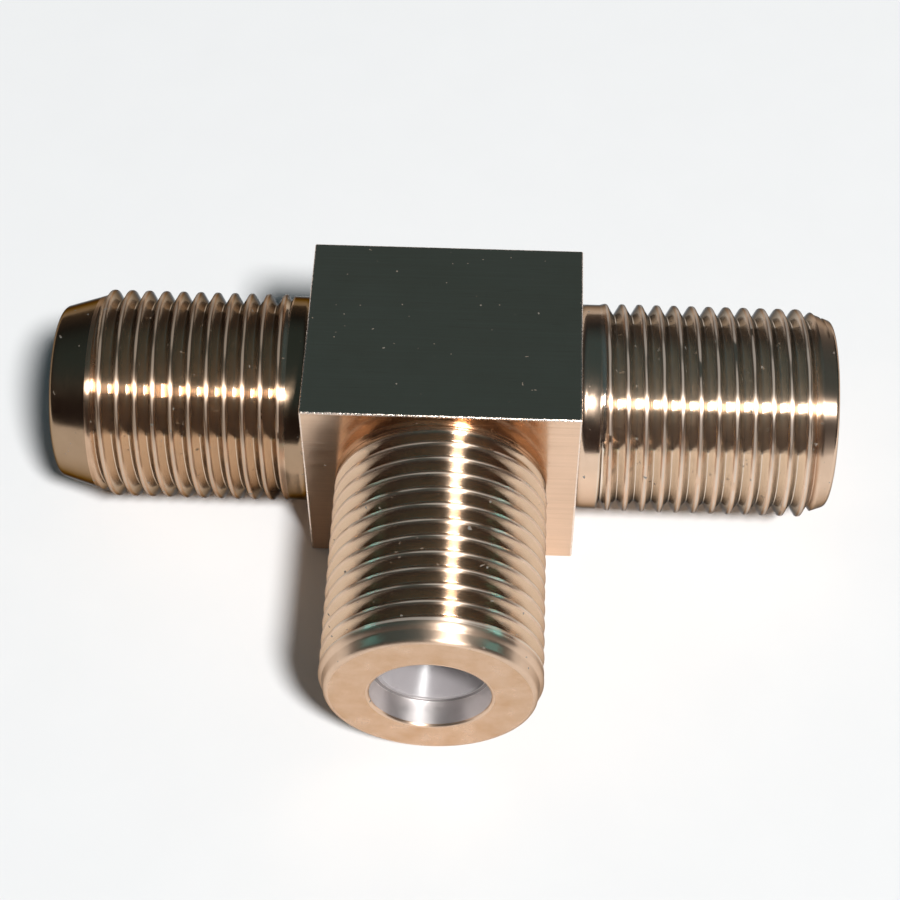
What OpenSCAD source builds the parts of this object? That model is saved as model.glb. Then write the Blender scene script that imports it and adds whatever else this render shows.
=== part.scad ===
/* [Block] */
// Width of the block, between the two side barrels
block_w = 12.2; // [11:0.1:20]
// Depth of the block, from its front face to its back face
block_d = 9.65; // [9.6:0.05:16]
// Height of the block
block_h = 10.65; // [9.6:0.05:16]
// Bevel along the edges of the block
block_bevel = 0.08; // [0.05:0.01:0.4]

/* [Thread] */
// Major diameter of the thread on all three barrels
thread_d = 9.525; // [9.4:0.005:9.6]
// Pitch of the thread
thread_pitch = 0.794; // [0.6:0.002:1]
// Depth of the thread
thread_depth = 0.42; // [0.2:0.02:0.6]
// Width of the flat on each crest of the thread
crest_w = 0.24; // [0.16:0.01:0.3]
// Width of the floor of each groove
groove_floor = 0.08; // [0.04:0.01:0.14]
// Diameter of the plain collar between the block and the thread
collar_d = 9.4; // [8.6:0.05:9.4]
// Length of the collar on the side barrels
side_collar_len = 0.85; // [0.3:0.05:1.5]
// Length of the collar on the branch barrel
branch_collar_len = 0.4; // [0.3:0.05:1.5]

/* [Left barrel] */
// Length of the left barrel, from the block to its mouth
left_len = 11.5; // [9:0.05:16]
// Length of the smooth nose in front of the thread
left_nose_len = 1.9; // [1:0.05:3]
// Diameter of the nose where it meets the thread
left_nose_d = 9; // [8.6:0.05:9.3]
// Taper of the nose, as the angle of its side to the axis
left_nose_taper = 17; // [2:1:20]
// Rounding of the rim at the mouth
left_rim_r = 0.3; // [0.1:0.05:0.6]

/* [Right barrel] */
// Length of the right barrel, from the block to its mouth
right_len = 11.4; // [9:0.05:16]
// Length of the short nose in front of the thread
right_nose_len = 0.8; // [0.4:0.05:1.5]
// Diameter of the nose where it meets the thread
right_nose_d = 9.1; // [8.6:0.05:9.35]
// Taper of the nose, as the angle of its side to the axis
right_nose_taper = 20; // [5:1:30]
// Rounding of the rim at the mouth
right_rim_r = 0.2; // [0.05:0.05:0.3]

/* [Branch barrel] */
// Length of the branch barrel, from the block's front face to its mouth
branch_len = 10.65; // [9:0.05:16]
// Length of the short nose in front of the thread
branch_nose_len = 0.55; // [0.4:0.05:1.5]
// Diameter of the nose where it meets the thread
branch_nose_d = 9.2; // [8.6:0.05:9.35]
// Taper of the nose, as the angle of its side to the axis
branch_nose_taper = 10; // [5:1:30]
// Rounding of the rim at the mouth
branch_rim_r = 0.2; // [0.05:0.05:0.3]
// Diameter of the spigot that is pressed into the block
spigot_d = 7; // [5.8:0.1:8]
// Length of the spigot
spigot_len = 2.2; // [1:0.05:2.4]

/* [Bore] */
// Diameter of the bore that holds the insulators
bore_d = 4.8; // [4:0.05:5]
// Diameter of the counterbore at each mouth
mouth_d = 5.15; // [5.1:0.05:6]
// Depth of the counterbore, down to the face of the insulator
mouth_depth = 1.2; // [0.5:0.05:3]
// Chamfer around each mouth
mouth_chamfer = 0.12; // [0.05:0.01:0.4]

/* [Insulators] */
// Length of each insulator
insulator_len = 7.5; // [5:0.1:8]
// Chamfer on the insulator's inner end, which leads it into the bore
insulator_chamfer = 0.25; // [0.1:0.05:0.5]
// Diameter of the funnel that guides the wire
funnel_d = 4.4; // [2:0.05:4.6]
// Depth of the funnel
funnel_depth = 2.6; // [1:0.05:3]
// Diameter of the wire hole behind the funnel
wire_hole_d = 1.5; // [1.4:0.05:1.7]
// Length of the wire hole, in the wall that stops the contact
wire_hole_len = 0.7; // [0.4:0.05:1.5]

/* [Contacts] */
// Outer diameter of both contacts
contact_d = 1.9; // [1.8:0.05:2.4]
// Gap all round between a contact and its insulator
contact_clearance = 0.04; // [0.02:0.01:0.1]
// Diameter of the spring socket
socket_d = 1.1; // [0.8:0.05:1.2]
// Depth of the spring socket
socket_depth = 5; // [3:0.1:6]
// Chamfer inside the lip of the socket
socket_chamfer = 0.15; // [0.05:0.05:0.2]
// Width of the slots that part the socket into fingers
slot_w = 0.25; // [0.15:0.05:0.4]
// Length of the slots
slot_len = 4; // [2:0.1:5]
// Diameter of the tenon that joins the branch contact to the through contact
tenon_d = 1.1; // [0.8:0.05:1.2]
// Depth of the flat on the through contact where the branch contact seats
seat_depth = 0.2; // [0.1:0.05:0.4]

/* [Hidden] */
$fn = 96;
overshoot = 0.5;
rim_steps = 6;
axis_z = block_h / 2;
flank_w = (thread_pitch - crest_w - groove_floor) / 2;
side_root = block_w / 2;
branch_root = block_d / 2;
side_thread_start = side_root + side_collar_len;
branch_thread_start = branch_root + branch_collar_len;
left_tip = side_root + left_len;
right_tip = side_root + right_len;
branch_tip = branch_root + branch_len;
left_nose = [left_nose_len, left_nose_d, left_nose_taper, left_rim_r];
right_nose = [right_nose_len, right_nose_d, right_nose_taper, right_rim_r];
branch_nose = [branch_nose_len, branch_nose_d, branch_nose_taper, branch_rim_r];
wire_wall = funnel_depth + wire_hole_len;
contact_setback = mouth_depth + wire_wall;
contact_seat_r = contact_d / 2 + contact_clearance;
seat_height = contact_d / 2 - seat_depth;
nickel = [0.74, 0.67, 0.57];
plastic = [0.93, 0.93, 0.91];
bronze = [0.80, 0.62, 0.32];

// Radius of the flat end that a nose leaves inside its rounded rim
function flat_radius(nose_len, nose_d, taper, rim_r) =
    nose_d / 2 - rim_r * cos(taper) - (nose_len - rim_r + rim_r * sin(taper)) * tan(taper);

// Points of a rounded rim, from the tapered side of a nose round to its flat end
function rim_points(tip, flat_r, taper, rim_r) =
    [for (i = [0:rim_steps])
        let (a = taper + (90 - taper) * i / rim_steps)
        [flat_r + rim_r * cos(a), tip - rim_r + rim_r * sin(a)]];

// Grooves and crests of a thread between two distances, drawn as rings one pitch apart
function thread_points(from, to) =
    [for (i = [0:floor((to - from) / thread_pitch) - 1])
        let (s = from + i * thread_pitch)
        each [[thread_d / 2 - thread_depth, s + flank_w],
              [thread_d / 2 - thread_depth, s + flank_w + groove_floor],
              [thread_d / 2, s + thread_pitch - crest_w],
              [thread_d / 2, s + thread_pitch]]];

// Half outline of a barrel with its collar, thread and nose: radius, and distance from the crossing of the axes
function barrel_outline(start, thread_start, tip, nose_len, nose_d, taper, rim_r) =
    concat(
        [[0, start],
         [collar_d / 2, start],
         [collar_d / 2, thread_start]],
        thread_points(thread_start, tip - nose_len),
        [[nose_d / 2, tip - nose_len]],
        rim_points(tip, flat_radius(nose_len, nose_d, taper, rim_r), taper, rim_r),
        [[0, tip]]);

// Half outline of an insulator whose face lies at the given distance from the crossing of the axes
function insulator_outline(face) =
    [[funnel_d / 2, face],
     [bore_d / 2, face],
     [bore_d / 2, face - insulator_len + insulator_chamfer],
     [bore_d / 2 - insulator_chamfer, face - insulator_len],
     [contact_seat_r, face - insulator_len],
     [contact_seat_r, face - wire_wall],
     [wire_hole_d / 2, face - wire_wall],
     [wire_hole_d / 2, face - funnel_depth]];

// Each port is drawn along +Z, from the crossing of the axes outwards, and turned into place
module on_left() {
    translate([0, 0, axis_z])
        rotate([0, -90, 0])
            children();
}

module on_right() {
    translate([0, 0, axis_z])
        rotate([0, 90, 0])
            children();
}

module on_branch() {
    translate([0, 0, axis_z])
        rotate([90, 0, 0])
            children();
}

module barrel(start, thread_start, tip, nose) {
    rotate_extrude()
        polygon(barrel_outline(start, thread_start, tip, nose[0], nose[1], nose[2], nose[3]));
}

// Counterbore and chamfer at the mouth of a barrel
module mouth_cut(tip) {
    translate([0, 0, tip - mouth_depth])
        cylinder(h = mouth_depth + overshoot, d = mouth_d);
    translate([0, 0, tip - mouth_chamfer])
        cylinder(h = 2 * mouth_chamfer, d1 = mouth_d, d2 = mouth_d + 4 * mouth_chamfer);
}

// Rectangle with bevelled corners
module bevelled_rectangle(x, y) {
    polygon([[block_bevel - x / 2, -y / 2],
             [x / 2 - block_bevel, -y / 2],
             [x / 2, block_bevel - y / 2],
             [x / 2, y / 2 - block_bevel],
             [x / 2 - block_bevel, y / 2],
             [block_bevel - x / 2, y / 2],
             [-x / 2, y / 2 - block_bevel],
             [-x / 2, block_bevel - y / 2]]);
}

// Block with a bevel along every edge
module bevelled_block() {
    translate([0, 0, axis_z])
        intersection() {
            linear_extrude(height = block_h, center = true)
                bevelled_rectangle(block_w, block_d);
            rotate([90, 0, 0])
                linear_extrude(height = block_d, center = true)
                    bevelled_rectangle(block_w, block_h);
            rotate([90, 0, 90])
                linear_extrude(height = block_w, center = true)
                    bevelled_rectangle(block_d, block_h);
        }
}

// Bar with a threaded barrel turned on each end, bored through, and bored at the front for the branch
module through_body() {
    color(nickel)
        difference() {
            union() {
                bevelled_block();
                on_left() barrel(side_root - overshoot, side_thread_start, left_tip, left_nose);
                on_right() barrel(side_root - overshoot, side_thread_start, right_tip, right_nose);
            }
            on_right()
                translate([0, 0, -left_tip - overshoot])
                    cylinder(h = left_tip + right_tip + 2 * overshoot, d = bore_d);
            on_left() mouth_cut(left_tip);
            on_right() mouth_cut(right_tip);
            on_branch()
                cylinder(h = branch_root + overshoot, d = bore_d);
            on_branch()
                translate([0, 0, branch_root - spigot_len])
                    cylinder(h = spigot_len + overshoot, d = spigot_d);
        }
}

// Turned barrel whose spigot is pressed into the front of the block
module branch_barrel() {
    color(nickel)
        on_branch()
            difference() {
                union() {
                    barrel(branch_root, branch_thread_start, branch_tip, branch_nose);
                    translate([0, 0, branch_root - spigot_len])
                        cylinder(h = spigot_len + branch_collar_len, d = spigot_d);
                }
                translate([0, 0, branch_root - spigot_len - overshoot])
                    cylinder(h = branch_len + spigot_len + 2 * overshoot, d = bore_d);
                mouth_cut(branch_tip);
            }
}

module insulator(tip) {
    color(plastic)
        rotate_extrude()
            polygon(insulator_outline(tip - mouth_depth));
}

module left_insulator() {
    on_left() insulator(left_tip);
}

module right_insulator() {
    on_right() insulator(right_tip);
}

module branch_insulator() {
    on_branch() insulator(branch_tip);
}

// Socket at the end of a contact, with crossed slots that leave four spring fingers
module socket_cut(lip) {
    translate([0, 0, lip - socket_depth])
        cylinder(h = socket_depth + overshoot, d = socket_d);
    translate([0, 0, lip - socket_chamfer])
        cylinder(h = 2 * socket_chamfer, d1 = socket_d, d2 = socket_d + 4 * socket_chamfer);
    for (turn = [0, 90])
        rotate([0, 0, turn])
            translate([-slot_w / 2, -contact_d, lip - slot_len])
                cube([slot_w, 2 * contact_d, slot_len + overshoot]);
}

// Rod with a spring socket at each end and a cross hole at the branch
module through_contact() {
    left_lip = left_tip - contact_setback;
    right_lip = right_tip - contact_setback;
    color(bronze)
        difference() {
            on_right()
                translate([0, 0, -left_lip])
                    cylinder(h = left_lip + right_lip, d = contact_d);
            on_left() socket_cut(left_lip);
            on_right() socket_cut(right_lip);
            on_branch()
                translate([0, 0, -contact_d])
                    cylinder(h = 2 * contact_d, d = tenon_d);
            on_branch()
                translate([0, 0, seat_height])
                    cylinder(h = contact_d, r = contact_seat_r);
        }
}

// Rod with a spring socket at its outer end and a tenon that is pressed through the through contact
module branch_contact() {
    lip = branch_tip - contact_setback;
    color(bronze)
        on_branch()
            difference() {
                union() {
                    translate([0, 0, seat_height])
                        cylinder(h = lip - seat_height, d = contact_d);
                    translate([0, 0, -seat_height])
                        cylinder(h = 2 * seat_height + overshoot, d = tenon_d);
                }
                socket_cut(lip);
            }
}

through_body();
branch_barrel();
left_insulator();
right_insulator();
branch_insulator();
through_contact();
branch_contact();
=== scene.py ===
"""Looks of the coaxial t-adapter: helical threads, plated metal, glossy insulators, floor, light and camera.

Lengths are in millimetres until a mesh is finished, and metres after that. A port's own distances run along
its axis, from the crossing of the three port axes outwards.
"""

import math

import bmesh
import bpy
import numpy as np
from mathutils import Matrix, Vector


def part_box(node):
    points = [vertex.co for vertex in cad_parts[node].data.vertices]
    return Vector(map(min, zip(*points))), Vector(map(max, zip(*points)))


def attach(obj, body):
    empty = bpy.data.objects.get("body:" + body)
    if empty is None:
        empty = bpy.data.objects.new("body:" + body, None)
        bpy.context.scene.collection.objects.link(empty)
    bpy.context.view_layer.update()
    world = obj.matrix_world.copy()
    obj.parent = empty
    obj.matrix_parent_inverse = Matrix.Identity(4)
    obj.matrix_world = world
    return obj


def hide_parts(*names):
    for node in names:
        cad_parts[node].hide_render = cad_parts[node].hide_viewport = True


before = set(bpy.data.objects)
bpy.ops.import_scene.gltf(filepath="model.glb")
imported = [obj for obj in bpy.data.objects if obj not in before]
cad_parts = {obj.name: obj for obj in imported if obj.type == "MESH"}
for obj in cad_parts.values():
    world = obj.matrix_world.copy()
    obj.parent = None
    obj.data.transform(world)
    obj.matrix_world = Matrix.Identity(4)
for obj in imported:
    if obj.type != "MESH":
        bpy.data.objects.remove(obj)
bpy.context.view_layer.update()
MM = 0.001


def cad_reach(node, side, axis):
    """Where a CAD node ends along an axis, in millimetres. Side 0 is its low corner, side 1 its high one."""
    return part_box(node)[side][axis] / MM


# Driving sizes. The overall reach comes from the CAD nodes. The rest repeats the named values of the part,
# apart from the forms of the threads and the branch's collar, which follow the photograph more closely.
AXIS_Z = cad_reach("through_body", 1, 2) / 2
BLOCK_W, BLOCK_D, BLOCK_H = 12.2, 9.65, 2 * AXIS_Z
BLOCK_BEVEL = 0.08
THREAD_R = 9.525 / 2
PITCH = 0.794
ROOT_ARC_R = 0.05
SIDE_FORM = (0.48, 31.0, 0.09)      # a thread's depth, flank angle in degrees and crest fillet
BRANCH_FORM = (0.41, 36.0, 0.12)
RUN_IN = 0.3                        # length over which the grooves grow to their full depth
CREST_RISE = 0.25                   # length over which the crests rise from the collar
COLLAR_R = 4.7
BORE_R = 2.4
MOUTH_R = 2.575
MOUTH_DEPTH = 1.2
MOUTH_FILLET = 0.12
SPIGOT_R = 3.5
SPIGOT_LEN = 2.2
SPIGOT_GAP = 0.01                   # between the spigot and its recess
INSULATOR_LEN = 7.5
INSULATOR_GAP = 0.005               # between an insulator and its bore
INSULATOR_EDGE = 0.02               # the broken edge round its face
INSULATOR_CHAMFER = 0.25            # at its inner end
FUNNEL_R = 2.2
FUNNEL_DEPTH = 2.6
WIRE_HOLE_R = 0.75
WIRE_HOLE_LEN = 0.7
CONTACT_SEAT_R = 0.99

# Wear of a thread: waves, each with its height, its number round the barrel, its radians per millimetre and
# its phase, and nicks, with the ranges of their depth, length and width.
WAVES = ((0.002, 7, 5, 0), (0.0015, 17, -11, 1))
NICKS = 40
NICK_DEPTH, NICK_LENGTH, NICK_WIDTH = (0.01, 0.04), (0.08, 0.3), (0.08, 0.2)

# Fineness of the meshes
AROUND = 180                        # points round a barrel
ARC_POINTS = 4                      # points on the fillet of a crest and on each half of a root
COLLAR_ROWS, NOSE_ROWS, BORE_ROWS, FUNNEL_ROWS = 4, 8, 12, 14
RIM_STEPS, MOUTH_STEPS, BEVEL_STEPS = 8, 6, 4
SPARE_TURNS = 2                     # turns of thread beyond both ends, which the ends then cut off
EDGE_ROW = 0.03                     # width of the narrow rows that keep smooth shading close to an edge
MERGE = 1e-4                        # points closer than this become one
FLAT = 0.9999                       # a face is flat if its normal has at least this share along an axis
SHARP_ANGLE = 40                    # edges of an insulator with more degrees than this are shaded as edges
QUARTER_TURN = 0.25

ANGLES = np.linspace(0, 2 * np.pi, AROUND, endpoint=False)
X, Y, Z = (np.array(v, float) for v in ((1, 0, 0), (0, 1, 0), (0, 0, 1)))
CROSSING = np.array((0, 0, AXIS_Z))


class Port:
    """One barrel: its right-handed frame (u, v, outward axis), its sizes and the place of its thread.

    On the side that v points to, one crest is at the distance crest_at. The last full crest is at last_crest,
    and the grooves fade out between the two distances in fade. The taper of the nose is in degrees.
    """

    def __init__(self, name, u, v, root, tip, *, collar_len, nose_len, nose_r, taper, rim_r,
                 crest_at, last_crest, fade, form, seed):
        self.name, self.u, self.v, self.out = name, u, v, np.cross(u, v)
        self.root, self.tip = root, tip
        self.thread_start, self.nose_start = root + collar_len, tip - nose_len
        self.nose_r, self.taper, self.rim_r = nose_r, math.radians(taper), rim_r
        self.crest_at, self.last_crest, self.fade = crest_at, last_crest, fade
        self.form, self.seed = form, seed

    def points(self, r, theta, s):
        """Points at radius r, angle theta and distance s, as an array of the same shape with xyz added."""
        r, theta, s = np.broadcast_arrays(r, theta, s)
        across = np.cos(theta)[..., None] * self.u + np.sin(theta)[..., None] * self.v
        return CROSSING + r[..., None] * across + s[..., None] * self.out

    def nose_radius(self, s):
        """Radius of the tapered nose at distance s, carried on backwards over the thread."""
        return self.nose_r - (s - self.nose_start) * math.tan(self.taper)

    def envelope(self, s):
        """Radius over the crests: collar, thread, the step down to the nose, and the nose."""
        marks = [self.thread_start, self.thread_start + CREST_RISE, self.last_crest, self.nose_start]
        over_thread = np.interp(s, marks, [COLLAR_R, THREAD_R, THREAD_R, self.nose_r])
        return np.where(s > self.nose_start, self.nose_radius(s), over_thread)

    def side_end(self):
        """Distance at which the tapered side meets the rounded rim."""
        return self.tip - self.rim_r + self.rim_r * math.sin(self.taper)

    def flat_r(self):
        """Radius of the flat end inside the rounded rim."""
        return self.nose_radius(self.side_end()) - self.rim_r * math.cos(self.taper)


LEFT = Port("left", Z, Y, BLOCK_W / 2, -cad_reach("through_body", 0, 0),
            collar_len=0.85, nose_len=1.9, nose_r=4.5, taper=17, rim_r=0.3,
            crest_at=8.333, last_crest=15.55, fade=(15.5, 15.9), form=SIDE_FORM, seed=11)
RIGHT = Port("right", Y, Z, BLOCK_W / 2, cad_reach("through_body", 1, 0),
             collar_len=0.85, nose_len=0.8, nose_r=4.55, taper=20, rim_r=0.2,
             crest_at=8.10, last_crest=16.48, fade=(17.1, 17.33), form=SIDE_FORM, seed=12)
BRANCH = Port("branch", X, Z, BLOCK_D / 2, -cad_reach("branch_barrel", 0, 1),
              collar_len=0.12, nose_len=0.55, nose_r=4.6, taper=10, rim_r=0.2,
              crest_at=8.14, last_crest=14.75, fade=(14.25, 14.6), form=BRANCH_FORM, seed=13)


# Meshes

class Surface:
    """Collects faces, each with its own material slot, and welds them into one mesh."""

    def __init__(self):
        self.points, self.faces, self.slots = [], [], []
        self.count = 0

    def add(self, points, faces, slot):
        """Adds points and the faces between them. A face is a list of its points' numbers."""
        self.points.append(np.asarray(points, float))
        self.faces += [[self.count + i for i in face] for face in faces]
        self.slots += [slot] * len(faces)
        self.count += len(points)

    def grid(self, points, slot, closed=True):
        """Adds a grid of points, rows by columns. A closed grid joins its last column to its first."""
        rows, columns = points.shape[:2]
        index = np.arange(rows * columns).reshape(rows, columns)
        if closed:
            index = np.hstack([index, index[:, :1]])
        corners = (index[:-1, :-1], index[:-1, 1:], index[1:, 1:], index[1:, :-1])
        self.add(points.reshape(-1, 3), np.stack(corners, -1).reshape(-1, 4).tolist(), slot)

    def make(self, name, materials, flat_slots=()):
        """Welds the faces, turns them outwards and returns the object, in metres."""
        mesh = bpy.data.meshes.new(name)
        mesh.from_pydata(np.vstack(self.points).tolist(), [], self.faces)
        mesh.polygons.foreach_set("material_index", self.slots)
        bm = bmesh.new()
        bm.from_mesh(mesh)
        bmesh.ops.remove_doubles(bm, verts=bm.verts, dist=MERGE)
        bmesh.ops.recalc_face_normals(bm, faces=bm.faces)
        for face in bm.faces:
            face.smooth = face.material_index not in flat_slots
        bm.to_mesh(mesh)
        bm.free()
        for material in materials:
            mesh.materials.append(material)
        mesh.transform(Matrix.Scale(MM, 4))
        obj = bpy.data.objects.new(name, mesh)
        bpy.context.scene.collection.objects.link(obj)
        return obj


def lathe(port, outline):
    """Grid made by turning an outline of (radius, distance) points about a port's axis."""
    r, s = np.array(outline, float).T
    return port.points(r[:, None], ANGLES[None, :], s[:, None])


def arc(centre_r, centre_s, radius, start, end, steps):
    """Points of an arc in (radius, distance). Angle 0 points off the axis, 90 degrees towards the mouth."""
    a = np.radians(np.linspace(start, end, steps + 1))
    return list(zip(centre_r + radius * np.cos(a), centre_s + radius * np.sin(a)))


def thread_section(full_depth, flank_degrees, fillet_r):
    """One pitch of the thread, from crest to crest: axial offsets and depths below the crest."""
    half, flank_angle = PITCH / 2, math.radians(flank_degrees)
    arc_offset = half - ROOT_ARC_R * math.cos(flank_angle)
    arc_depth = full_depth - ROOT_ARC_R * (1 - math.sin(flank_angle))
    crest_half = arc_offset - arc_depth * math.tan(flank_angle)
    fillet_turn = np.radians(90) - flank_angle
    fillet_centre = crest_half - fillet_r * math.tan(fillet_turn / 2)
    turn = np.linspace(0, fillet_turn, ARC_POINTS)
    fillet = np.c_[fillet_centre + fillet_r * np.sin(turn), fillet_r * (1 - np.cos(turn))]
    flank = np.array([[(fillet[-1, 0] + arc_offset) / 2, (fillet[-1, 1] + arc_depth) / 2]])
    sweep = np.linspace(flank_angle, np.pi / 2, ARC_POINTS)
    root = np.c_[half - ROOT_ARC_R * np.cos(sweep), full_depth - ROOT_ARC_R * (1 - np.sin(sweep))]
    falling = np.vstack([[[0, 0]], fillet, flank, root])
    rising = np.c_[PITCH - falling[-2:0:-1, 0], falling[-2:0:-1, 1]]
    return np.vstack([falling, rising])


def smooth_step(value, start, end):
    """0 before the start, 1 after the end, and a smooth rise between them."""
    t = np.clip((value - start) / (end - start), 0, 1)
    return t * t * (3 - 2 * t)


def dents(port, theta, s):
    """Depth of the small nicks in the crests and of the faint waves of the turned surface."""
    draw = np.random.default_rng(port.seed)
    lowered = sum(height * np.sin(around * theta + along * s + phase)
                  for height, around, along, phase in WAVES)
    for _ in range(NICKS):
        at_s = draw.uniform(port.thread_start, port.nose_start)
        at_theta, depth = draw.uniform(0, 2 * np.pi), draw.uniform(*NICK_DEPTH)
        length, width = draw.uniform(*NICK_LENGTH), draw.uniform(*NICK_WIDTH)
        turn = np.angle(np.exp(1j * (theta - at_theta))) * THREAD_R
        lowered = lowered + depth * np.exp(-(turn / length) ** 2 - ((s - at_s) / width) ** 2)
    return lowered


def threaded_wall(port):
    """Helical grid from the collar to the start of the smooth nose. Its rows follow the crest."""
    section = thread_section(*port.form)
    start, end = port.thread_start, port.fade[1]
    first = math.floor((start - port.crest_at) / PITCH) - SPARE_TURNS
    last = math.ceil((end - port.crest_at) / PITCH) + SPARE_TURNS
    turns = np.arange(first, last)
    row_s = (port.crest_at + turns[:, None] * PITCH + section[None, :, 0]).reshape(-1, 1)
    depth = np.tile(section[:, 1], len(turns)).reshape(-1, 1)
    theta = np.linspace(0, 2 * np.pi, AROUND + 1).reshape(1, -1)
    s = np.clip(row_s + PITCH * (theta / (2 * np.pi) - QUARTER_TURN), start, end)
    grown = smooth_step(s, start, start + RUN_IN) * (1 - smooth_step(s, *port.fade))
    over = port.envelope(s)
    r = np.minimum(over, THREAD_R - dents(port, theta, s) * grown - depth * grown)
    r = np.where(s >= end, over, np.where(s <= start, COLLAR_R, r))
    return port.points(r, theta, s)


def nose_outline(port):
    """From the end of the thread over the nose, its rounded rim and the flat end to the edge of the mouth."""
    flat_r, thread_end = port.flat_r(), port.fade[1]
    rows = np.linspace(thread_end, port.side_end(), NOSE_ROWS)[:-1]
    s = np.union1d(rows, [max(port.nose_start, thread_end)])
    outline = list(zip(port.envelope(s), s))
    outline += arc(flat_r, port.tip - port.rim_r, port.rim_r, math.degrees(port.taper), 90, RIM_STEPS)
    outline += [(flat_r - EDGE_ROW, port.tip), (MOUTH_R + MOUTH_FILLET + EDGE_ROW, port.tip)]
    return outline


def mouth_outline(port):
    """Rounded edge of the mouth, its lip, and the step down to the bore."""
    floor_s, edge_s = port.tip - MOUTH_DEPTH, port.tip - MOUTH_FILLET
    edge = [(MOUTH_R + MOUTH_FILLET + EDGE_ROW, port.tip)]
    edge += arc(MOUTH_R + MOUTH_FILLET, edge_s, MOUTH_FILLET, 90, 180, MOUTH_STEPS)
    lip = [edge[-1], (MOUTH_R, edge_s - EDGE_ROW), (MOUTH_R, floor_s + EDGE_ROW), (MOUTH_R, floor_s)]
    return edge, lip, [(MOUTH_R, floor_s), (BORE_R, floor_s)]


def add_barrel(surface, port, slots):
    """Adds a port's collar, thread, nose, end face and mouth to a surface."""
    collar, threaded, turned, faced, bored, shaded_step = slots
    collar_s = np.linspace(port.root, port.thread_start, COLLAR_ROWS)
    surface.grid(lathe(port, [(COLLAR_R, s) for s in collar_s]), collar)
    surface.grid(threaded_wall(port), threaded, closed=False)
    outline = nose_outline(port)
    surface.grid(lathe(port, outline[:-1]), turned)
    surface.grid(lathe(port, outline[-2:]), faced)
    edge, lip, step = mouth_outline(port)
    surface.grid(lathe(port, edge), turned)
    surface.grid(lathe(port, lip), bored)
    surface.grid(lathe(port, step), shaded_step)


def rounded_block():
    """Box with rounded edges as a bmesh, in millimetres."""
    bm = bmesh.new()
    box = Matrix.Translation((0, 0, AXIS_Z)) @ Matrix.Diagonal((BLOCK_W, BLOCK_D, BLOCK_H, 1))
    bmesh.ops.create_cube(bm, size=1, matrix=box)
    bmesh.ops.bevel(bm, geom=bm.edges[:], offset=BLOCK_BEVEL, segments=BEVEL_STEPS, profile=0.5,
                    affect="EDGES")
    bm.normal_update()
    return bm


def pierced_face(bm, normal, ring):
    """Replaces the block's flat face on one side by one with a round hole."""
    normal = Vector(normal)
    face = max((f for f in bm.faces if f.normal.dot(normal) > FLAT), key=lambda f: f.calc_area())
    rim = list(face.edges)
    bmesh.ops.delete(bm, geom=[face], context="FACES_ONLY")
    points = [bm.verts.new(p) for p in ring]
    circle = [bm.edges.new((points[i - 1], points[i])) for i in range(len(points))]
    bmesh.ops.triangle_fill(bm, use_beauty=True, use_dissolve=False, edges=rim + circle, normal=normal)


def add_block(surface, slot_flat, slot_edge):
    """Adds the block, with holes for the three barrels, to a surface."""
    bm = rounded_block()
    pierced_face(bm, -X, lathe(LEFT, [(COLLAR_R, LEFT.root)])[0])
    pierced_face(bm, X, lathe(RIGHT, [(COLLAR_R, RIGHT.root)])[0])
    pierced_face(bm, -Y, lathe(BRANCH, [(SPIGOT_R, BRANCH.root)])[0])
    bm.normal_update()
    bm.verts.index_update()
    points = [v.co[:] for v in bm.verts]
    faces = {slot_flat: [], slot_edge: []}
    for face in bm.faces:
        is_flat = max(abs(c) for c in face.normal) > FLAT
        faces[slot_flat if is_flat else slot_edge].append([v.index for v in face.verts])
    for slot, slot_faces in faces.items():
        surface.add(points, slot_faces, slot)
    bm.free()


# Materials

MIX_A, MIX_B, MIX_RESULT = 6, 7, 2  # sockets of a mix node that are colours
NOISE_RANGE = (0.3, 0.7)            # most of a noise's values lie between these
DUST_SCALE, DUST_SOFTNESS = 3800, 0.05
MICRON = 1e-6


class Nodes:
    """A node tree that is built one node at a time."""

    def __init__(self, tree):
        self.tree = tree

    def add(self, kind, inputs=None, **settings):
        """Adds a node. An input is a number, a colour, or another node's output."""
        node = self.tree.nodes.new("ShaderNode" + kind)
        for key, value in settings.items():
            setattr(node, key, value)
        for key, value in (inputs or {}).items():
            self.put(node.inputs[key], value)
        return node

    def put(self, socket, value):
        """Links another node's output to a socket, or sets the socket's own value."""
        if isinstance(value, bpy.types.NodeSocket):
            self.tree.links.new(value, socket)
        else:
            socket.default_value = value

    def remap(self, value, low, high, to_low=0.0, to_high=1.0):
        """A value between low and high, brought between two others and held there."""
        return self.add("MapRange", {"Value": value, "From Min": low, "From Max": high,
                                     "To Min": to_low, "To Max": to_high}).outputs["Result"]

    def blend(self, share, a, b):
        """Colour a where share is 0 and b where it is 1."""
        mix = self.add("Mix", {"Factor": share, MIX_A: a, MIX_B: b}, data_type="RGBA")
        return mix.outputs[MIX_RESULT]


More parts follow.
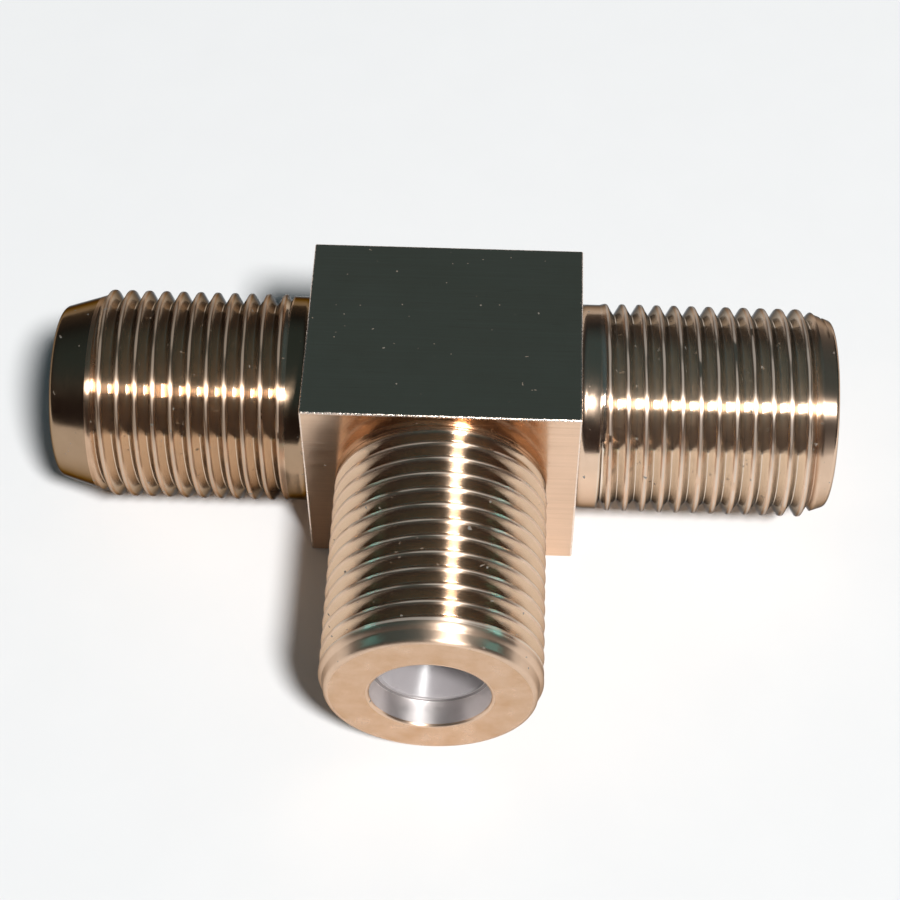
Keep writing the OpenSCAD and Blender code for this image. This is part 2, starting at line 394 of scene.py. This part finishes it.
class Shader(Nodes):
    """A node material with one Principled shader."""

    def __init__(self, name):
        self.material = bpy.data.materials.new(name)
        self.material.use_nodes = True
        super().__init__(self.material.node_tree)
        self.bsdf = self.tree.nodes["Principled BSDF"]

    def where(self):
        """The object's own coordinates, in metres."""
        return self.add("TexCoord").outputs["Object"]

    def axes(self):
        """The object's own x, y and z, in metres."""
        return self.add("SeparateXYZ", {0: self.where()}).outputs

    def math(self, operation, a, b=0.0):
        """One step of arithmetic."""
        return self.add("Math", {0: a, 1: b}, operation=operation).outputs[0]

    def radius(self, along):
        """Distance in metres from the port axis that runs along X (0) or Y (1)."""
        axes = self.axes()
        across, height = axes[1 - along], self.math("SUBTRACT", axes[2], AXIS_Z * MM)
        squares = [self.math("MULTIPLY", side, side) for side in (across, height)]
        return self.math("SQRT", self.math("ADD", *squares))

    def round_axis(self, along):
        """Direction round the axis along X (0) or Y (1)."""
        return self.add("Tangent", direction_type="RADIAL", axis="XY"[along]).outputs["Tangent"]

    def noise_at(self, place, detail=3, rough=0.6):
        """Noise in 0 to 1 with features of about the size of one."""
        return self.add("TexNoise", {"Vector": place, "Scale": 1.0, "Detail": detail,
                                     "Roughness": rough}).outputs["Fac"]

    def noise(self, *scale, detail=3, rough=0.6):
        """Noise in 0 to 1 with features of about 1 / scale metres. The scale is a number or one per axis."""
        scale = scale * 3 if len(scale) == 1 else scale
        place = self.add("Mapping", {"Vector": self.where(), "Scale": scale}).outputs["Vector"]
        return self.noise_at(place, detail, rough)

    def spread(self, noise, to_low, to_high):
        """A noise spread out between two values."""
        return self.remap(noise, *NOISE_RANGE, to_low, to_high)

    def bump(self, height, distance, base=None):
        """A normal for small unevenness of a height in metres, on top of another normal."""
        inputs = {"Height": height, "Distance": distance}
        if base is not None:
            inputs["Normal"] = base
        return self.add("Bump", inputs).outputs["Normal"]

    def dust(self, least):
        """Specks of dust: 1 where a fine noise is above a level, 0 elsewhere."""
        return self.remap(self.noise(DUST_SCALE, detail=1, rough=0.4), least, least + DUST_SOFTNESS)

    def finish(self, **inputs):
        """Sets the inputs of the Principled shader and returns the material."""
        for key, value in inputs.items():
            self.put(self.bsdf.inputs[key.replace("_", " ")], value)
        return self.material


# The tan of the plate colours below is painted reflection of a tan table; the nickel itself is near neutral,
# as in the bores.
TAN_REFLECTED_PLATE = (0.87, 0.635, 0.475, 1)
TAN_REFLECTED_PLATE_DULL = (0.74, 0.53, 0.38, 1)
TAN_REFLECTED_FACE = (0.63, 0.395, 0.235, 1)
GROOVE_X = (0.91, 0.765, 0.63, 1)   # painted light: paler than the plate, so that light leaving a side barrel's groove after three bounces has the plate's colour
GROOVE_Y = (0.73, 0.52, 0.36, 1)    # painted reflection: sets the darker tan that light gives a branch's flanks after two bounces in its grooves
WORN_TAN_REFLECTED = (0.84, 0.69, 0.57, 1)
DUST = (0.24, 0.235, 0.215, 1)
DRAWN_LINE_TAN_REFLECTED = (0.62, 0.45, 0.335, 1)
BRIGHT_FACET = (0.9, 0.84, 0.78, 1)
BARE_NICKEL = (0.84, 0.80, 0.79, 1)
BARE_NICKEL_DULL = (0.74, 0.69, 0.67, 1)
EDGE_TINT = (0.12, 0.12, 0.12, 1)   # share of light that the plate sends back at a grazing angle
# The insulators' white plastic is painted grey, as the shade of their recesses.
SHADED_PLASTIC_LIGHT, SHADED_PLASTIC_DARK = (0.33, 0.305, 0.31, 1), (0.29, 0.268, 0.272, 1)
BRONZE_BRIGHT, BRONZE_DULL = (0.72, 0.46, 0.18, 1), (0.48, 0.28, 0.11, 1)
TABLE_LIGHT, TABLE_DARK = (0.81, 0.81, 0.81, 1), (0.79, 0.79, 0.79, 1)

# Tones that colours are seen through. The second and third are painted shade, over the left barrel and,
# deeper, over its collar and nose; the last is painted shade in the step at the bottom of each mouth.
PLAIN, LEFT_SIDE_SHADE, LEFT_NOSE_SHADE, SHADED = (1, 1, 1), (0.84, 0.77, 0.70), (0.51, 0.48, 0.42), (0.42, 0.40, 0.40)

# Polishes: lowest roughness, highest roughness and how far highlights stretch across the turned lines
SATIN, BRIGHT, SOFT = (0.27, 0.34, 1.0), (0.16, 0.22, 0.6), (0.33, 0.41, 0.8)

TURNED_LINES = (700, 9000)          # noise scales along and across the lines of a turned surface
FACING_RINGS = 11000                # noise scale across the rings of an end face
GROOVE_BAND = (4.73 * MM, 4.66 * MM)        # radii between which a groove's painted colour sets in
RUBBED_BAND = (4.7575 * MM, 4.7612 * MM)    # and radii between which the rubbed top of a crest does
GROOVE_END = 0.1                    # half the length over which the grooves' colour ends
SIDE_GROOVE_ROUGH, BRANCH_GROOVE_ROUGH, RUBBED_ROUGH = -0.14, -0.11, 0.16    # changes of roughness
THREAD_METAL, RUBBED_METAL, DUST_METAL = 0.99, 0.72, 0.3
DUST_TURNED, DUST_DRAWN = 0.745, 0.782      # levels of noise above which dust lies


def toned(colour, tone):
    """A colour seen through another one."""
    return tuple(a * b for a, b in zip(colour[:3], tone)) + (1,)


def nickel_turned(name, along, polish, tone=PLAIN, groove=None):
    """Plated turned metal whose fine lines run round the axis along X (0) or Y (1).

    The grooves of a thread have a painted colour, which sets the light that comes back after bouncing in
    them, and a change of roughness of their own, as far out as the distance where the thread ends. The very
    top of each crest is rubbed dull.
    """
    shader = Shader(name)
    low, high, stretch = polish
    lines = [TURNED_LINES[0]] * 3
    lines[along] = TURNED_LINES[1]
    turned = shader.noise(*lines, detail=2)
    mottled = shader.noise(1100)
    grain = shader.noise(5200, detail=2)
    normal = shader.bump(grain, 0.8 * MICRON, base=shader.bump(turned, 1.2 * MICRON))
    # The plate's tan is painted reflection of a tan table.
    plate = shader.blend(mottled, toned(TAN_REFLECTED_PLATE, tone), toned(TAN_REFLECTED_PLATE_DULL, tone))
    rough = shader.spread(mottled, low, high)
    dust = shader.dust(DUST_TURNED)
    metal = shader.remap(dust, 0.0, 1.0, 1.0, DUST_METAL)
    if groove:
        colour, groove_rough, end = groove
        radius = shader.radius(along)
        outward = shader.math("ABSOLUTE", shader.axes()[along])
        within = shader.remap(outward, (end + GROOVE_END) * MM, (end - GROOVE_END) * MM)
        # The depth mask carries the grooves' painted colour and their change of roughness.
        deep = shader.math("MULTIPLY", shader.remap(radius, *GROOVE_BAND), within)
        worn = shader.remap(radius, *RUBBED_BAND)
        plate = shader.blend(worn, shader.blend(deep, plate, toned(colour, tone)), toned(WORN_TAN_REFLECTED, tone))
        rough = shader.math("ADD", rough, shader.math("MULTIPLY", deep, groove_rough))
        rough = shader.math("ADD", rough, shader.math("MULTIPLY", worn, RUBBED_ROUGH))
        metal = shader.math("MULTIPLY", metal, shader.remap(worn, 0.0, 1.0, THREAD_METAL, RUBBED_METAL))
    return shader.finish(Base_Color=shader.blend(dust, plate, DUST), Metallic=metal, Specular_Tint=EDGE_TINT,
                         Roughness=rough, Anisotropic=stretch, Anisotropic_Rotation=QUARTER_TURN,
                         Tangent=shader.round_axis(along), Normal=normal)


def nickel_faced(name, along):
    """Flat end of a barrel, with the rings that the facing tool left, its colour running into a darker tan
    that is painted reflection of a table.
    """
    shader = Shader(name)
    reach = shader.math("MULTIPLY", shader.radius(along), FACING_RINGS)
    rings = shader.noise_at(shader.add("CombineXYZ", {0: reach}).outputs[0], rough=0.7)
    mottled = shader.noise(900)
    uneven = shader.remap(mottled, 0.15, 0.85)
    return shader.finish(Base_Color=shader.blend(uneven, TAN_REFLECTED_FACE, TAN_REFLECTED_PLATE), Metallic=1.0,
                         Specular_Tint=EDGE_TINT, Roughness=shader.spread(mottled, 0.18, 0.3),
                         Normal=shader.bump(rings, 2 * MICRON))


def nickel_bored(name, along, stretch, tone=PLAIN):
    """Plate inside a bore along X (0) or Y (1), in the near neutral nickel, without the painted tan
    reflection of the outer plate. Highlights stretch along the bore.
    """
    shader = Shader(name)
    mottled = shader.noise(1300)
    plate = shader.blend(mottled, toned(BARE_NICKEL, tone), toned(BARE_NICKEL_DULL, tone))
    return shader.finish(Base_Color=plate, Metallic=1.0, Roughness=shader.spread(mottled, 0.42, 0.54),
                         Anisotropic=stretch, Anisotropic_Rotation=QUARTER_TURN,
                         Tangent=shader.round_axis(along), Normal=shader.bump(mottled, 2 * MICRON))


def nickel_drawn(name):
    """Plated face of the drawn bar: fine lines along X, a few scratches, dust and an uneven polish."""
    shader = Shader(name)
    drawn = shader.noise(160, 9000, 9000, rough=0.65)
    mottled = shader.noise(500)
    scratch = shader.remap(shader.noise(500, 9000, 9000, detail=1, rough=0.4), 0.70, 0.76)
    dust = shader.dust(DUST_DRAWN)
    # The tan of the plate and of its drawn lines is painted reflection of a tan table.
    plate = shader.blend(mottled, TAN_REFLECTED_PLATE, TAN_REFLECTED_PLATE_DULL)
    plate = shader.blend(shader.spread(drawn, 0.0, 0.45), plate, DRAWN_LINE_TAN_REFLECTED)
    normal = shader.bump(scratch, 2 * MICRON, base=shader.bump(drawn, 1.5 * MICRON))
    return shader.finish(Base_Color=shader.blend(dust, plate, DUST), Specular_Tint=EDGE_TINT,
                         Metallic=shader.remap(dust, 0.0, 1.0, 1.0, DUST_METAL),
                         Roughness=shader.spread(drawn, 0.10, 0.20), Normal=normal)


def nickel_edge(name):
    """Rubbed edge of the block: uneven, with bright facets."""
    shader = Shader(name)
    facets = shader.noise(6500, rough=0.7)
    return shader.finish(Base_Color=shader.blend(facets, BRIGHT_FACET, TAN_REFLECTED_PLATE), Metallic=1.0,
                         Roughness=shader.spread(facets, 0.2, 0.35), Normal=shader.bump(facets, 40 * MICRON))


def white_plastic(name):
    """Glossy moulded plastic, faintly uneven, painted grey as the shade of the recess it sits in."""
    shader = Shader(name)
    cloudy = shader.noise(900, detail=2, rough=0.5)
    return shader.finish(Base_Color=shader.blend(cloudy, SHADED_PLASTIC_LIGHT, SHADED_PLASTIC_DARK),
                         Roughness=shader.spread(cloudy, 0.26, 0.36), Specular_IOR_Level=0.4,
                         Subsurface_Weight=0.5, Subsurface_Radius=(1, 1, 1), Subsurface_Scale=0.6 * MM,
                         Normal=shader.bump(cloudy, 3 * MICRON))


def spring_bronze(name):
    """Bare bronze of the contacts, lightly tarnished."""
    shader = Shader(name)
    tarnish = shader.noise(1500)
    return shader.finish(Base_Color=shader.blend(tarnish, BRONZE_BRIGHT, BRONZE_DULL), Metallic=1.0,
                         Roughness=shader.spread(tarnish, 0.22, 0.4), Normal=shader.bump(tarnish, 2 * MICRON))


LEFT_GROOVE = (GROOVE_X, SIDE_GROOVE_ROUGH, LEFT.last_crest)
RIGHT_GROOVE = (GROOVE_X, SIDE_GROOVE_ROUGH, RIGHT.last_crest)
BRANCH_GROOVE = (GROOVE_Y, BRANCH_GROOVE_ROUGH, BRANCH.last_crest)
# The left barrel's thread, and more deeply its collar and nose, are seen through tones of painted shade.
LEFT_THREAD = nickel_turned("nickel_left_thread", 0, SATIN, LEFT_SIDE_SHADE, LEFT_GROOVE)
LEFT_TURNED = nickel_turned("nickel_left_turned", 0, BRIGHT, LEFT_NOSE_SHADE)
RIGHT_THREAD = nickel_turned("nickel_right_thread", 0, SATIN, PLAIN, RIGHT_GROOVE)
RIGHT_TURNED = nickel_turned("nickel_right_turned", 0, BRIGHT)
BRANCH_THREAD = nickel_turned("nickel_branch_thread", 1, SATIN, PLAIN, BRANCH_GROOVE)
BRANCH_TURNED = nickel_turned("nickel_branch_turned", 1, SOFT)
BRANCH_COLLAR = nickel_turned("nickel_branch_collar", 1, BRIGHT)
FACED_X = nickel_faced("nickel_faced_x", 0)
FACED_Y = nickel_faced("nickel_faced_y", 1)
BORED_X = nickel_bored("nickel_bored_x", 0, stretch=0.7)
BORED_Y = nickel_bored("nickel_bored_y", 1, stretch=0.7)
# The step at the bottom of each mouth is painted shade: the bore's plate seen through a dark tone.
SHADED_STEP = nickel_bored("nickel_shaded_step", 1, stretch=0.0, tone=SHADED)
DRAWN = nickel_drawn("nickel_drawn")
EDGE = nickel_edge("nickel_edge")
PLASTIC = white_plastic("white_plastic")
BRONZE = spring_bronze("spring_bronze")


# The object

def through_body():
    """Block with both side barrels, bored through, and the recess for the branch."""
    surface = Surface()
    block, edge, faced, bored, shaded_step, left_thread, left_turned, right_thread, right_turned = range(9)
    add_block(surface, block, edge)
    add_barrel(surface, LEFT, (left_turned, left_thread, left_turned, faced, bored, shaded_step))
    add_barrel(surface, RIGHT, (right_turned, right_thread, right_turned, faced, bored, shaded_step))
    bore_s = np.linspace(LEFT.tip - MOUTH_DEPTH, MOUTH_DEPTH - RIGHT.tip, BORE_ROWS)
    surface.grid(lathe(LEFT, [(BORE_R, s) for s in bore_s]), bored)
    recess = lathe(BRANCH, [(SPIGOT_R, BRANCH.root), (SPIGOT_R, BRANCH.root - SPIGOT_LEN)])
    surface.grid(recess, bored)
    surface.add(recess[1], [list(range(AROUND))], bored)
    materials = [DRAWN, EDGE, FACED_X, BORED_X, SHADED_STEP, LEFT_THREAD, LEFT_TURNED, RIGHT_THREAD, RIGHT_TURNED]
    return surface.make("through_body_shell", materials, flat_slots=(block,))


def branch_barrel():
    """Front barrel with the spigot that sits in the block."""
    surface = Surface()
    collar, threaded, turned, faced, bored, shaded_step = range(6)
    add_barrel(surface, BRANCH, (collar, threaded, turned, faced, bored, shaded_step))
    spigot_r, inner_end = SPIGOT_R - SPIGOT_GAP, BRANCH.root - SPIGOT_LEN + SPIGOT_GAP
    outline = [(COLLAR_R, BRANCH.root), (spigot_r, BRANCH.root), (spigot_r, inner_end), (BORE_R, inner_end),
               (BORE_R, BRANCH.tip - MOUTH_DEPTH)]
    surface.grid(lathe(BRANCH, outline), bored)
    materials = [BRANCH_COLLAR, BRANCH_THREAD, BRANCH_TURNED, FACED_Y, BORED_Y, SHADED_STEP]
    return surface.make("branch_barrel_shell", materials)


def insulator(port):
    """White plug with a funnel for the centre wire."""
    face = port.tip - MOUTH_DEPTH
    inner = face - INSULATOR_LEN
    hole_end = face - FUNNEL_DEPTH - WIRE_HOLE_LEN
    plug_r = BORE_R - INSULATOR_GAP
    chamfer_start = (plug_r, inner + INSULATOR_CHAMFER)
    outline = [chamfer_start, (plug_r, face - INSULATOR_EDGE), (BORE_R - INSULATOR_EDGE, face)]
    outline += [(FUNNEL_R + (WIRE_HOLE_R - FUNNEL_R) * t, face - FUNNEL_DEPTH * t)
                for t in np.linspace(0, 1, FUNNEL_ROWS)]
    outline += [(WIRE_HOLE_R, hole_end), (CONTACT_SEAT_R, hole_end), (CONTACT_SEAT_R, inner),
                (BORE_R - INSULATOR_CHAMFER, inner), chamfer_start]
    surface = Surface()
    surface.grid(lathe(port, outline), 0)
    obj = surface.make(f"insulator_{port.name}", [PLASTIC])
    obj.data.set_sharp_from_angle(angle=math.radians(SHARP_ANGLE))
    return obj


def place(obj, node, slot):
    """Puts a piece in the place of a CAD node."""
    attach(obj, "root")
    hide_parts(node)


place(through_body(), "through_body", "nickel_plate")
place(branch_barrel(), "branch_barrel", "nickel_plate")
for port in (LEFT, RIGHT, BRANCH):
    place(insulator(port), f"{port.name}_insulator", "white_plastic")
for contact in ("through_contact", "branch_contact"):
    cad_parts[contact].data.materials.clear()
    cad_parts[contact].data.materials.append(BRONZE)


# Floor, light and camera. Lengths are in metres.

FLOOR_SIZE, FLOOR_GAP = 2.4, 0.02 * MM      # the gap keeps the floor clear of the block's bottom face
GLOW_COLOUR = (0.22, 0.9, 1.0)

# The room's colours by height, from 0 at the horizon to 1 straight up
OVERHEAD = (0.75, (0.045, 0.076, 0.088))
ROOM_FRONT = ((0.42, (0.024, 0.018, 0.018)), (0.56, (0.036, 0.035, 0.035)), OVERHEAD)
ROOM_BEHIND = ((0.1, (0.075, 0.068, 0.065)), (0.4, (0.02, 0.022, 0.024)), OVERHEAD)
ROOM_TURN = 0.25                    # share of a direction along Y at which the front or the back is reached

CAMERA_AT = (0.0027107, -0.0578337, 0.0817155)
CAMERA_RIGHT = Vector((0.999207, 0.039747, -0.002487))
CAMERA_UP = Vector((-0.030765, 0.810047, 0.585557))
SENSOR_WIDTH, FOCAL_LENGTH = 36, 82.92      # these two in millimetres
NEAREST, FARTHEST = 0.001, 10


def floor():
    """Wide white table."""
    shader = Shader("white_table")
    fine = shader.noise(300, detail=2, rough=0.5)
    shader.finish(Base_Color=shader.blend(fine, TABLE_LIGHT, TABLE_DARK), Roughness=0.9,
                  Specular_IOR_Level=0.0)
    bpy.ops.mesh.primitive_plane_add(size=FLOOR_SIZE, location=(0, 0, -FLOOR_GAP))
    table = bpy.context.object
    table.name = "floor"
    table.data.materials.append(shader.material)


def lamp(name, direction, distance, size, power, colour=(1, 1, 1), spread=180, lit=None):
    """Soft oval lamp that shines on the object, or on one piece of it, from a direction and a distance."""
    data = bpy.data.lights.new(name, "AREA")
    data.shape, data.energy, data.color = "ELLIPSE", power, colour
    data.size, data.size_y = size
    data.spread = math.radians(spread)
    obj = bpy.data.objects.new(name, data)
    toward = Vector(direction).normalized()
    obj.location = Vector((0, 0, AXIS_Z * MM)) + toward * distance
    obj.rotation_euler = toward.to_track_quat("Z", "Y").to_euler()
    bpy.context.scene.collection.objects.link(obj)
    if lit:
        obj.light_linking.receiver_collection = bpy.data.collections.new(name + "_receivers")
        obj.light_linking.receiver_collection.objects.link(lit)


def surroundings():
    """Dim room: grey-green overhead, warm grey low down behind the part and nearly dark low down in front."""
    world = bpy.data.worlds.new("room")
    bpy.context.scene.world = world
    world.use_nodes = True
    room = Nodes(world.node_tree)
    toward = room.add("SeparateXYZ", {0: room.add("TexCoord").outputs["Generated"]}).outputs

    def by_height(colours):
        """A ramp between three colours."""
        ramp = room.add("ValToRGB", {"Fac": toward["Z"]})
        stops = ramp.color_ramp.elements
        stops.new(0.5)
        for i, (height, colour) in enumerate(colours):
            stops[i].position, stops[i].color = height, (*colour, 1)
        return ramp.outputs["Color"]

    backward = room.remap(toward["Y"], -ROOM_TURN, ROOM_TURN)
    background = world.node_tree.nodes["Background"].inputs
    room.put(background["Color"], room.blend(backward, by_height(ROOM_FRONT), by_height(ROOM_BEHIND)))
    room.put(background["Strength"], 1.0)


def camera():
    """Pinhole camera at the photograph's viewing point."""
    data = bpy.data.cameras.new("camera")
    data.sensor_width, data.lens = SENSOR_WIDTH, FOCAL_LENGTH
    data.clip_start, data.clip_end = NEAREST, FARTHEST
    turned = Matrix((CAMERA_RIGHT, CAMERA_UP, CAMERA_RIGHT.cross(CAMERA_UP))).transposed()
    obj = bpy.data.objects.new("camera", data)
    obj.matrix_world = Matrix.Translation(CAMERA_AT) @ turned.to_4x4()
    bpy.context.scene.collection.objects.link(obj)
    bpy.context.scene.camera = obj


floor()
lamp("key", direction=(0.306, -0.50, 0.80), distance=1.6, size=(0.28, 0.28), power=34.2)
for name, side, power in (("left_glow", -1, 0.006), ("right_glow", 1, 0.007)):
    lamp(name, direction=(side * 0.764, 0.585, 0.263), distance=0.45, size=(0.05, 0.12), power=power,
         colour=GLOW_COLOUR, spread=40, lit=bpy.data.objects["branch_barrel_shell"])
surroundings()
camera()
bpy.context.scene.view_settings.view_transform = "Standard"
